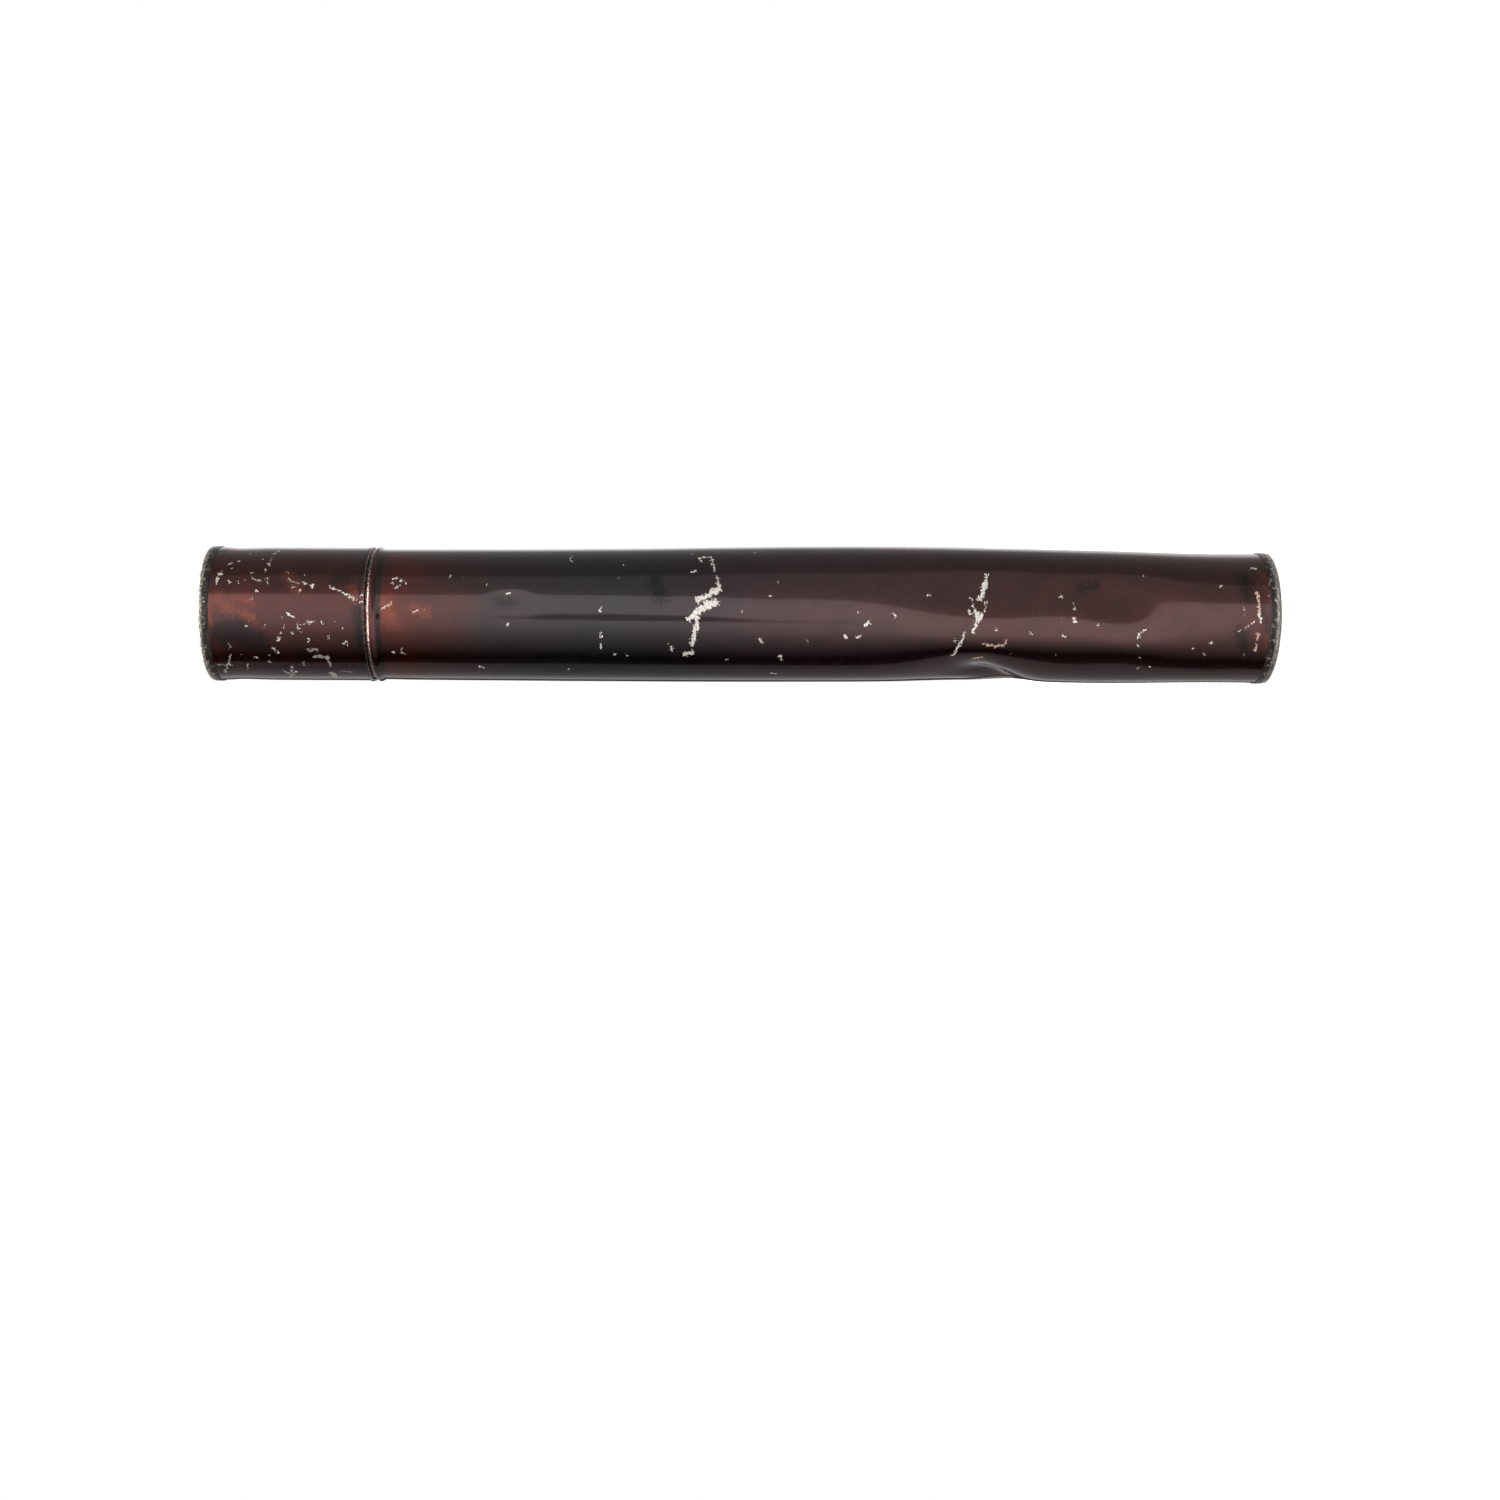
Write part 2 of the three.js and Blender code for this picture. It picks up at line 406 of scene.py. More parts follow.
BIG_FLAKE = [
    (699, 559.5, 711.6, 558.6, 1.2),
    (700, 559.5, 700.9, 563, 0.8),
    (711.6, 559.5, 714.3, 571, 1.0),
    (717, 575.5, 717.9, 583.6, 0.9),
    (718.8, 584.5, 718.8, 590.7, 2.0),
    (717.9, 589.8, 712, 591.5, 3.2),
    (711, 594, 698.2, 599.6, 2.1),
    (697.3, 597.9, 698.2, 603.2, 1.5),
    (715, 602.5, 707, 604, 4.1),
    (708, 606.5, 700, 609.5, 3.1),
    (701, 610.5, 688.9, 618.8, 2.4),
    (697, 608.5, 692, 614, 1.4),
    (697.3, 617, 696.4, 630, 2.0),
    (694.6, 630, 692, 645.2, 2.2),
    (691.6, 652.6, 684.5, 654.4, 2.6),
    (695.5, 570.7, 692.9, 572.5, 1.6),
    (692, 556.3, 692, 556.3, 0.9),
    (672, 647, 671.4, 650.5, 1.5),
    (667.9, 642.9, 667.9, 642.9, 0.8),
]
DENT_SCRATCHES = [
    (986.9, 572.5, 986.2, 580, 1.2),
    (985.8, 580, 983.5, 591, 2.4),
    (983.5, 591, 980.4, 597.2, 2.6),
    (985.8, 599.4, 985.3, 612.4, 0.7),
    (971.7, 596.1, 974.9, 610.2, 0.7),
    (969.5, 609.1, 970.6, 613.5, 1.3),
    (976, 611.3, 978.2, 618.9, 2.4),
    (981.4, 614.7, 979.4, 620.7, 1.8),
    (976, 621.1, 973.4, 630.8, 1.5),
    (964.1, 633, 953.3, 654.7, 1.3),
    (954.8, 639.5, 954.8, 639.5, 1.7),
]
BODY_CHIPS = [
    (486.3, 584.5, 486.3, 584.5, 0.9),
    (506.6, 593, 508.6, 593, 1.1),
    (507.7, 623.5, 507.7, 626, 1.0),
    (573, 556.5, 570, 559, 0.6),
    (570, 559, 573, 562, 0.6),
    (624.1, 565.4, 624.1, 565.4, 0.9),
    (618.8, 577.3, 618.8, 577.3, 1.0),
    (601, 608.6, 599.3, 611.8, 1.0),
    (600.2, 634, 601.8, 637.3, 1.0),
    (600.9, 644.3, 601.4, 647.9, 1.6),
    (614.7, 654.1, 616.7, 654.1, 0.8),
    (626.8, 655, 626.8, 655, 0.9),
    (569.3, 668.9, 569.3, 668.9, 1.0),
    (480, 666.5, 484, 668, 0.8),
    (726.8, 659.6, 726.8, 659.6, 1.0),
    (450, 576.5, 450, 577.5, 0.9),
    (464.3, 577.1, 464.3, 577.1, 0.6),
    (392.7, 580.3, 397.1, 577.9, 0.8),
    (401.6, 580.5, 402.6, 580.5, 0.8),
    (405.2, 583.6, 405.2, 583.6, 0.6),
    (395.4, 588, 398.6, 586.3, 1.1),
    (392.7, 583, 392.7, 583, 0.6),
    (382.9, 608.6, 386.2, 606.6, 0.8),
    (414.1, 611.3, 416.8, 610.9, 0.8),
    (424.4, 609.5, 424.4, 609.5, 0.6),
    (393.2, 652, 394.2, 652, 1.2),
    (402.4, 648.8, 400.7, 652, 0.6),
    (400.7, 652.5, 405.2, 654.1, 0.7),
    (754.9, 555.5, 754.9, 555.5, 1.0),
    (777.3, 581.8, 777.3, 581.8, 0.8),
    (769.9, 596, 769.9, 596, 1.0),
    (742.5, 610.5, 742.5, 610.5, 0.8),
    (759.7, 639.2, 762, 641.8, 1.1),
    (805.5, 640.2, 808.5, 642.8, 0.5),
    (780, 655.5, 781.5, 659.5, 1.2),
    (771, 673, 775.5, 673.5, 0.9),
    (845.2, 636, 846, 637.3, 1.7),
    (856, 637, 860.5, 636.5, 1.3),
    (869.2, 621.9, 865.5, 626.2, 1.4),
    (859.4, 611.9, 859.4, 611.9, 0.9),
    (893.5, 614, 896.3, 616.6, 1.1),
    (928.4, 593.8, 928.4, 593.8, 1.2),
    (997, 629.1, 997, 629.1, 0.9),
    (1011.4, 651.9, 1011.4, 651.9, 0.9),
    (1030.2, 633, 1030.2, 633, 1.2),
    (1062.8, 635.4, 1064, 635.8, 1.3),
    (1055.2, 654.2, 1055.2, 654.2, 0.9),
    (1059.5, 595, 1063.2, 596.1, 1.0),
    (1075, 603, 1076, 609, 0.6),
    (1061.7, 618.9, 1061.7, 618.9, 0.7),
    (1073.6, 617.8, 1075.3, 621.5, 1.0),
    (1097.9, 625, 1097.9, 625, 1.1),
    (1144.1, 630.4, 1139.1, 633, 0.8),
    (1139.1, 633, 1137.6, 637.3, 1.0),
    (1137.6, 643.5, 1137.8, 644.8, 1.4),
    (1138.2, 656.8, 1138.2, 656.8, 0.8),
    (1137.6, 667.7, 1137.6, 667.7, 0.9),
    (1149.9, 667, 1149.9, 667, 0.9),
    (1143, 574.9, 1143, 574.9, 0.8),
    (1221, 586.4, 1221, 586.4, 1.2),
    (1251, 568.6, 1256, 568.6, 1.0),
    (1244.4, 608.5, 1244.4, 608.5, 0.9),
    (1243.8, 614.6, 1243.8, 614.6, 0.9),
    (1239.5, 630.8, 1239.5, 630.8, 1.3),
    (1246, 627.6, 1248.8, 625.4, 0.8),
    (1253.1, 622.8, 1253.1, 622.8, 1.1),
    (1259.6, 613, 1260.1, 622, 1.0),
    (1211.2, 643.2, 1212.2, 643.2, 1.1),
    (1192.8, 648.2, 1192.8, 648.2, 1.0),
    (1204.1, 654.2, 1204.1, 654.2, 0.8),
    (1268.7, 596.1, 1268.7, 596.1, 0.8),
    (1243.8, 655.8, 1243.8, 655.8, 0.9),
]
COPPERY_RUBS = [
    (1257.5, 592.9, 1259.4, 613, 1.3),
    (1258.2, 634.1, 1257.4, 640, 0.9),
    (1256.4, 644, 1254.6, 651.4, 0.9),
    (983.6, 642.7, 993.4, 645, 1.3),
    (993.4, 645, 1003.5, 643.3, 1.2),
    (1005.3, 640.6, 1003.1, 645, 0.8),
    (973.9, 660.1, 982.5, 657.9, 1.2),
    (386.2, 606.6, 391.5, 602.6, 0.7),
]
BODY_THIN_LACQUER = [
    (384, 603, 391, 622, 7),
    (1264, 575, 1270, 600, 3),
    (1266, 640, 1268, 652, 2),
    (412, 608, 426, 612, 5),
]
# Dark stains. The last three are painted shade, the dark sides of dents.
BODY_STAINS_AND_PAINTED_SHADE = [
    (1240, 632, 1244, 645, 6),
    (1244, 578, 1248, 596, 6),
    (1262, 610, 1268, 628, 3),
    (655, 581, 661, 596, 7),
    (1082, 586, 1096, 583, 3.5),
    (499, 603, 511, 602, 3),
]
LID_CHIPS = [
    (328.4, 586.6, 340.9, 591.6, 0.7),
    (340.9, 591.6, 356.1, 599.6, 0.8),
    (361.8, 595.2, 362.8, 596.2, 1.2),
    (361, 602.3, 362, 602.3, 1.0),
    (287.3, 613.6, 294.5, 616.6, 1.0),
    (282, 617.5, 282, 617.5, 0.6),
    (297.1, 622.9, 299.3, 630.9, 0.6),
    (298.9, 624.6, 305, 623.6, 0.6),
    (307, 623.2, 313.2, 621.6, 0.7),
    (321.6, 621.4, 322.8, 622.8, 0.9),
    (334.3, 622.3, 334.3, 622.3, 0.6),
    (343.6, 628.6, 343.6, 628.6, 0.9),
    (283.8, 627.3, 283.8, 627.3, 0.9),
    (292.7, 633.2, 292.7, 633.2, 0.9),
    (301.6, 632.7, 301.6, 632.7, 0.9),
    (280.7, 634.1, 280.7, 634.1, 0.9),
    (278.6, 638, 278.2, 639.8, 1.1),
    (308.8, 638.8, 309, 640.6, 1.0),
    (328.9, 636, 328.9, 639.5, 0.5),
    (343.5, 643.2, 347.1, 642.6, 1.0),
    (346.6, 645.6, 347.1, 646.1, 1.1),
    (273.9, 648.4, 274.4, 649.6, 1.2),
    (277.9, 652.7, 277.9, 652.7, 1.0),
    (268.6, 654.5, 268.6, 654.5, 0.9),
    (270.4, 661.8, 270.4, 661.8, 0.8),
    (291.8, 665.7, 291.8, 677.3, 0.6),
    (284.6, 671.1, 291.8, 674.6, 0.7),
    (297.1, 671.1, 292.7, 674.6, 0.6),
    (216.8, 664.8, 231.1, 665.4, 0.5),
    (230.2, 655, 225.7, 672.9, 0.7),
    (228.4, 642.5, 229, 646.1, 0.6),
    (231.1, 647, 231.1, 647, 0.8),
    (229.8, 650.5, 229.8, 650.5, 0.9),
    (247.1, 663.9, 248, 669.3, 0.6),
    (240.4, 661.6, 240.4, 661.6, 0.7),
    (240, 655, 240, 655, 0.6),
    (253.6, 657.7, 256.6, 657.7, 0.6),
    (219.5, 572.9, 216.4, 583.6, 0.8),
    (219.8, 573.4, 221.2, 573, 1.5),
    (227.9, 579.5, 230, 582.5, 1.1),
    (238.2, 581.8, 238.2, 581.8, 0.9),
    (245.4, 580.9, 245.4, 580.9, 0.9),
    (251.6, 577.3, 255.2, 579.1, 0.7),
    (255.2, 579.1, 261.4, 580.9, 0.8),
    (267, 577.5, 268, 582.5, 0.8),
    (269.3, 563.5, 269.9, 564.9, 1.4),
    (270.9, 559.8, 272.1, 556.8, 0.7),
    (275, 553.6, 278.4, 550.9, 0.6),
    (265.4, 569.2, 265.4, 570.8, 1.0),
    (262.3, 558.6, 262.3, 558.6, 0.7),
    (227.5, 564.2, 231.1, 562.6, 0.9),
    (232.9, 567.1, 232.9, 567.1, 1.0),
    (237.3, 569.3, 237.3, 569.3, 0.6),
    (239, 560.9, 241, 559.9, 0.7),
    (230.2, 551.3, 230.2, 551.3, 0.7),
    (249.8, 552.9, 249.8, 552.9, 0.7),
    (251.3, 572.9, 251.3, 572.9, 0.9),
    (256.1, 591.3, 256.1, 591.3, 0.9),
    (252.5, 597.8, 252.5, 599.5, 0.6),
    (299.8, 590.4, 299.8, 590.4, 0.9),
    (303.3, 582.2, 305.3, 583.2, 0.9),
    (311.6, 584.2, 312.9, 586.4, 1.0),
    (303.4, 575, 303.4, 575, 0.8),
    (288.2, 572.5, 288.2, 572.5, 0.7),
    (246.3, 626.4, 246.3, 626.4, 0.7),
    (264.6, 626.1, 264.6, 626.1, 0.7),
]
LID_DULL_RUBS = [
    (309.6, 649.8, 316.8, 650, 1.7),
    (314.1, 656.8, 327.5, 657.1, 1.7),
    (327.5, 657.1, 330.2, 665.7, 1.5),
    (331.1, 672.9, 336.4, 677.3, 2.8),
    (341.8, 671.1, 351.6, 672, 1.0),
    (303, 662, 303.8, 664, 1.4),
    (292.2, 586.6, 293.4, 587.6, 1.4),
    (288, 579, 298, 583, 1.0),
]
LID_THIN_LACQUER = [
    (219, 598, 228, 606, 6),
    (234, 597, 248, 600, 5),
    (238, 612, 250, 618, 4),
    (209.4, 598, 210.6, 640, 1.6),
    (288, 574, 296, 588, 5),
    (352, 590, 358, 596, 4),
    (217, 645, 220, 656, 4),
]
# Dark stains, with painted shade: the fourth is a dark line above the hem's top edge, and the last two are
# dark reflection bands painted along the lid
LID_STAINS_AND_PAINTED_SHADE = [
    (219, 634, 240, 630, 12),
    (240, 637, 258, 641, 10),
    (336, 580, 345, 579, 5),
    (357, 612, 360, 640, 5),
    (222, 667.5, 362, 667.5, 3.5),
    (222, 675, 362, 675, 2.5),
]

# How far a nick's ragged edge or a patch's soft one may reach past it
SHARP_MARGIN = 1.5
SOFT_MARGIN = 5

# Colours of the bare metal
TIN_BRIGHT = (0.95, 0.91, 0.85, 1)
TIN_SHADED = (0.58, 0.54, 0.48, 1)
TIN_DULL = (0.40, 0.37, 0.33, 1)
TIN_COPPERY = (0.80, 0.50, 0.36, 1)
TIN_RUBBED = (0.52, 0.47, 0.41, 1)
NECK_TIN = (0.26, 0.225, 0.19, 1)
RIM_TIN = (0.80, 0.73, 0.64, 1)
RIM_TIN_DULL = (0.36, 0.32, 0.28, 1)
INSIDE_TIN = (0.34, 0.32, 0.29, 1)
INSIDE_TIN_DULL = (0.20, 0.18, 0.155, 1)
RUST = (0.12, 0.055, 0.025, 1)

# Colours of the lacquer, of the grime on it, and of the shade painted on it
CLOUDED = (0.02, 0.012, 0.012, 1)
WORN_THIN = (0.25, 0.052, 0.022, 1)
# The dark of stains, also used for painted shade and painted dark reflections
STAIN_AND_SHADE_DARK = (0.012, 0.012, 0.014, 1)
# Painted shade in a dark band below the bead's foot
GROOVE_SHADE = (0.006, 0.006, 0.006, 1)
# Painted shade in a line along the top edge of the lid's hem
HEM_EDGE_SHADE = (0.008, 0.007, 0.007, 1)
NECK_LACQUER = (0.07, 0.03, 0.022, 1)
RIM_BLACK = (0.006, 0.005, 0.005, 1)
RIM_BROWN = (0.03, 0.018, 0.013, 1)

# The lacquer's colour from the foot of the body to its bead, and from the mouth of the lid to its top
BODY_TONES = [
    (0.0, (0.10, 0.02, 0.015, 1)),
    (0.06, (0.088, 0.024, 0.022, 1)),
    (0.3, (0.085, 0.024, 0.023, 1)),
    (0.42, (0.078, 0.027, 0.028, 1)),
    (0.56, (0.068, 0.026, 0.028, 1)),
    (0.66, (0.038, 0.026, 0.029, 1)),
    (0.74, (0.030, 0.026, 0.029, 1)),
    (0.86, (0.045, 0.026, 0.026, 1)),
    (0.93, (0.085, 0.018, 0.014, 1)),
    (0.975, (0.13, 0.016, 0.008, 1)),
    (1.0, (0.09, 0.014, 0.008, 1)),
]
LID_TONES = [
    (0.0, (0.055, 0.014, 0.013, 1)),
    (0.1, (0.080, 0.014, 0.011, 1)),
    (0.5, (0.085, 0.014, 0.011, 1)),
    (0.9, (0.090, 0.015, 0.011, 1)),
    (1.0, (0.075, 0.014, 0.010, 1)),
]
TONE_WANDER = 40.0

# The turns between which the wear that the picture shows gives way to wear of the hidden side
HIDDEN_FROM = 72
HIDDEN_BEYOND = 100


# Finishes

def new_material(name):
    material = bpy.data.materials.new(name)
    material.use_nodes = True
    material.node_tree.nodes.clear()
    return material, Finish(material.node_tree)


def lay_surface(finish, inputs):
    """Ends a material with its one shader."""
    shader = finish.put("ShaderNodeBsdfPrincipled", inputs)
    finish.put("ShaderNodeOutputMaterial", {"Surface": shader.outputs[0]})


def place_in_mm(finish):
    here = finish.put("ShaderNodeTexCoord").outputs["Object"]
    return finish.vector("SCALE", here, scale=1 / MM)


def wall_place(finish, radius):
    """The place in space, the place on the unrolled wall, and how far round and up the wall it is."""
    spot = place_in_mm(finish)
    parts = finish.put("ShaderNodeSeparateXYZ", {"Vector": spot}).outputs
    turn = finish.maths("ARCTAN2", parts["X"], finish.maths("MULTIPLY", parts["Y"], -1.0))
    round_it = finish.maths("MULTIPLY", turn, float(radius))
    flat = finish.put("ShaderNodeCombineXYZ", {"X": round_it, "Y": parts["Z"]}).outputs[0]
    return spot, flat, round_it, parts["Z"]


def ragged(finish, flat, spot, coarse=0.95, fine=0.5):
    """The flat place with its edges roughened, so that a chip's outline is torn and not smooth."""
    rough = finish.grain(spot, 0.85, detail=0, output="Color")
    rougher = finish.grain(spot, 3.0, detail=0, output="Color")
    half = (0.5, 0.5, 0.5)
    first = finish.vector("SCALE", finish.vector("SUBTRACT", rough, half), scale=coarse * 2)
    second = finish.vector("SCALE", finish.vector("SUBTRACT", rougher, half), scale=fine * 2)
    moved = finish.vector("ADD", flat, finish.vector("ADD", first, second))
    return finish.vector("MULTIPLY", moved, (1.0, 1.0, 0.0))


def hidden_side_wear(finish, spot, round_it, radius):
    """Specks and scratches for the sides that the picture does not show."""
    start = math.radians(HIDDEN_FROM) * radius
    end = math.radians(HIDDEN_BEYOND) * radius
    away = finish.between(finish.maths("ABSOLUTE", round_it), start, end)
    cells = finish.put("ShaderNodeTexVoronoi", {"Vector": spot, "Scale": 0.16, "Randomness": 1.0})
    pick = finish.put("ShaderNodeSeparateColor", {"Color": cells.outputs["Color"]}).outputs
    size = finish.product(finish.maths("POWER", pick[0], 4.0), 0.2)
    speck = finish.maths("LESS_THAN", cells.outputs["Distance"], size)
    streak = finish.grain(spot, 0.42, detail=4, roughness=0.7, stretch=(1.0, 1.0, 0.22))
    rub = finish.grain(spot, 0.045, detail=1)
    scratch = finish.product(finish.between(streak, 0.64, 0.67), finish.between(rub, 0.5, 0.58))
    return finish.product(finish.most(speck, scratch), away)


def wall_finishes(name, zones, radius, chips, rubs, thin, stains_and_shade, **look):
    """One finish for each stretch of the wall's front between two heights, and one for its hidden back."""
    made = []
    for i in range(len(zones) - 1):
        low, high = zones[i], zones[i + 1]
        sharp = [within(nicks, low, high, radius, SHARP_MARGIN) for nicks in (chips, rubs)]
        soft = [within(nicks, low, high, radius, SOFT_MARGIN) for nicks in (thin, stains_and_shade)]
        made.append(lacquered_tin(f"{name}_{i + 1}", radius, *sharp, *soft, **look))
    made.append(lacquered_tin(f"{name}_back", radius, [], [], [], [], **look))
    return made


def lacquered_tin(name, radius, chips, rubs, thin, stains_and_shade, rub_tone, tones, low, high, edge_wear):
    """Dark japanning over tinplate: a tinted layer under a clear gloss, chipped to bare tin."""
    material, finish = new_material(name)
    spot, flat, round_it, height = wall_place(finish, radius)
    torn = ragged(finish, flat, spot)
    soft = ragged(finish, flat, spot, coarse=2.2, fine=0.8)

    # The lacquer's own colour, which drifts up the tube and is patchy
    patch = finish.grain(spot, 0.05, detail=3, roughness=0.6)
    wander = finish.product(finish.maths("SUBTRACT", patch, 0.5), TONE_WANDER)
    drift = finish.maths("ADD", height, wander)
    colour = finish.ramp(finish.between(drift, low, high, even=True), tones)
    cloud = finish.grain(spot, 0.12, detail=3, roughness=0.6)
    colour = finish.tone(finish.between(cloud, 0.35, 0.75, 0.0, 0.35), colour, CLOUDED)
    thin_here = finish.between(nearest_nick(finish, soft, thin, radius), -2.2, 2.2, 1.0, 0.0)
    mottle = finish.between(patch, 0.3, 0.62, 0.25, 0.8)
    colour = finish.tone(finish.product(thin_here, mottle), colour, WORN_THIN)
    # Stains and painted shade: dark spots at dents, a line above the lid's hem and dark reflection bands
    # along the lid
    stain_and_shade_here = finish.between(nearest_nick(finish, soft, stains_and_shade, radius), -2.0, 2.2, 1.0, 0.0)
    colour = finish.tone(finish.product(stain_and_shade_here, 0.7), colour, STAIN_AND_SHADE_DARK)
    dulled = finish.rest(finish.product(stain_and_shade_here, 0.3))

    # Wear down to the tin
    crumb = finish.grain(spot, 1.6, detail=3, roughness=0.75)
    frayed = finish.between(crumb, 0.25, 0.75, -0.3, 0.44, even=True)
    to_chip = finish.maths("ADD", nearest_nick(finish, torn, chips, radius), frayed)
    chip = finish.between(to_chip, -0.06, 0.05, 1.0, 0.0)
    rub = finish.between(nearest_nick(finish, torn, rubs, radius), -0.35, 0.25, 1.0, 0.0)
    rub = finish.product(rub, finish.between(crumb, 0.36, 0.48))
    hidden = hidden_side_wear(finish, spot, round_it, radius)
    # The edge tones include painted shade: a band below the bead's foot on the body and a line above the
    # hem on the lid
    edge, edge_and_shade_tones = edge_wear(finish, spot, height)
    for share, tint in edge_and_shade_tones:
        colour = finish.tone(share, colour, tint)
    bare = finish.most(chip, hidden, edge)
    worn = finish.most(bare, rub)

    tin = finish.tone(finish.between(crumb, 0.3, 0.6), TIN_BRIGHT, TIN_SHADED)
    tin = finish.tone(finish.product(rub, finish.rest(bare)), tin, rub_tone)
    tin = finish.tone(finish.between(edge, 0.0, 0.3), tin, TIN_RUBBED)
    colour = finish.tone(worn, colour, tin)

    # Gloss, with a faint haze, over a sheet that is not quite even
    haze = finish.grain(spot, 0.5, detail=3, roughness=0.65)
    gloss = finish.between(haze, 0.3, 0.75, 0.24, 0.34)
    ripple = finish.grain(spot, 0.055, detail=1.5, roughness=0.4)
    skin = finish.bump(0.35, 0.0002, ripple)
    pitted = finish.bump(finish.product(worn, 0.7), 0.00012, crumb, skin)

    lay_surface(finish, {
        "Base Color": colour,
        "Metallic": finish.rest(finish.product(finish.most(chip, rub), 0.45)),
        "Roughness": finish.blend(worn, gloss, 0.42),
        "Coat Weight": finish.product(finish.rest(worn), dulled),
        "Coat Roughness": 0.05,
        "Coat IOR": 1.5,
        "Normal": pitted,
        "Coat Normal": skin,
    })
    return material


def bead_neck_wear_and_shade(finish, spot, height):
    """The bead is rubbed bright where the lid meets it, the lid scuffs the neck all the way up, and shade
    is painted below the bead.
    """
    wobble = finish.grain(spot, 0.35, detail=3, roughness=0.6)
    crumb = finish.grain(spot, 1.3, detail=4, roughness=0.7)
    wavy = finish.maths("ADD", height, finish.product(finish.maths("SUBTRACT", wobble, 0.5), 1.4))
    above = finish.between(wavy, BEAD_HEIGHT + 0.4, BEAD_HEIGHT + 0.8)
    below = finish.between(wavy, BEAD_TOP - 0.6, BEAD_TOP - 0.2, 1.0, 0.0)
    strip = finish.product(above, below, finish.between(crumb, 0.44, 0.54, 0.0, 0.75))
    on_neck = finish.between(height, BEAD_TOP + 0.2, BEAD_TOP + 1.5)
    scuff = finish.grain(spot, 1.7, detail=3, roughness=0.7, stretch=(1.0, 1.0, 0.05))
    neck = finish.product(on_neck, finish.between(scuff, 0.4, 0.75, 0.25, 0.75))
    # Painted shade: a dark band in the hollow below the bead's foot
    groove_low = finish.between(height, BEAD_FOOT - 2.2, BEAD_FOOT - 1.0)
    groove_high = finish.between(height, BEAD_FOOT + 0.3, BEAD_FOOT + 0.9, 1.0, 0.0)
    groove_shade = finish.product(groove_low, groove_high, 0.85)
    lacquer_left = finish.between(wavy, BEAD_TOP + 6.0, BEAD_TOP + 1.0)
    neck_tone = finish.tone(lacquer_left, NECK_TIN, NECK_LACQUER)
    return finish.most(strip, neck), [(groove_shade, GROOVE_SHADE), (on_neck, neck_tone)]


def hem_wear_and_shade(finish, spot, height):
    """The lid's hem is rubbed bright along its lower edge, and a line of painted shade darkens the wall
    above it.
    """
    crumb = finish.grain(spot, 1.2, detail=4, roughness=0.7)
    at_edge = finish.between(height, LID_MOUTH + 0.15, LID_MOUTH + 0.5, 1.0, 0.0)
    edge = finish.product(at_edge, finish.between(crumb, 0.47, 0.58, 0.0, 0.75))
    # Painted shade along the hem's top edge
    above_hem = finish.between(height, HEM_TOP - 0.1, HEM_TOP + 0.2)
    fades = finish.between(height, HEM_TOP + 0.5, HEM_TOP + 1.6, 1.0, 0.0)
    return edge, [(finish.product(above_hem, fades, 0.7), HEM_EDGE_SHADE)]


def rim_finish(name, outside, along):
    """Black lacquer on the caps, rubbed to grey tin on the corner and flecked on the skirt."""
    material, finish = new_material(name)
    spot = place_in_mm(finish)
    parts = finish.put("ShaderNodeSeparateXYZ", {"Vector": spot}).outputs
    deep = finish.product(finish.maths("SUBTRACT", parts["Z"], float(outside)), float(along))
    across = finish.vector("LENGTH", finish.vector("MULTIPLY", spot, (1.0, 1.0, 0.0)))
    patch = finish.grain(spot, 0.3, detail=4, roughness=0.65)
    fleck = finish.grain(spot, 0.75, detail=5, roughness=0.75)

    # The corner is rubbed nearly all round
    streak = finish.grain(spot, 0.4, detail=5, roughness=0.75, stretch=(1.0, 1.0, 3.0))
    corner = finish.between(deep, 0.9, 2.1, 1.0, 0.0)
    on_edge = finish.between(across, BODY_RADIUS - 1.2, BODY_RADIUS - 0.2)
    rubbed = finish.product(corner, on_edge, finish.between(streak, 0.38, 0.5))

    # The skirt is flecked, less so towards its foot
    clean_foot = finish.between(deep, CAP_SKIRT - 1.3, CAP_SKIRT - 0.6, 1.0, 0.12)
    on_skirt = finish.between(across, BODY_RADIUS - 4.0, BODY_RADIUS - 0.8)
    specks = finish.product(finish.between(fleck, 0.56, 0.61), finish.between(patch, 0.36, 0.5))
    flecks = finish.product(specks, clean_foot, on_skirt)

    # The disc is scratched
    scratch = finish.grain(spot, 0.5, detail=6, roughness=0.75, stretch=(0.3, 1.6, 1.0))
    rub = finish.grain(spot, 0.06, detail=3, roughness=0.6)
    on_face = finish.between(across, BODY_RADIUS - 2.0, BODY_RADIUS - 3.5)
    scratches = finish.product(finish.between(scratch, 0.58, 0.64), finish.between(rub, 0.46, 0.6))
    face = finish.product(scratches, on_face, 0.85)

    worn = finish.most(rubbed, finish.most(flecks, face))
    black = finish.tone(finish.between(patch, 0.35, 0.7), RIM_BLACK, RIM_BROWN)
    tin = finish.tone(finish.between(fleck, 0.45, 0.66), RIM_TIN_DULL, RIM_TIN)
    dented = finish.bump(0.4, 0.0004, patch)
    lay_surface(finish, {
        "Base Color": finish.tone(worn, black, tin),
        "Metallic": worn,
        "Roughness": finish.blend(worn, 0.36, 0.5),
        "Specular IOR Level": 0.25,
        "Coat Weight": finish.product(finish.rest(worn), 0.25),
        "Coat Roughness": 0.15,
        "Normal": finish.bump(0.5, 0.00008, fleck, dented),
    })
    return material


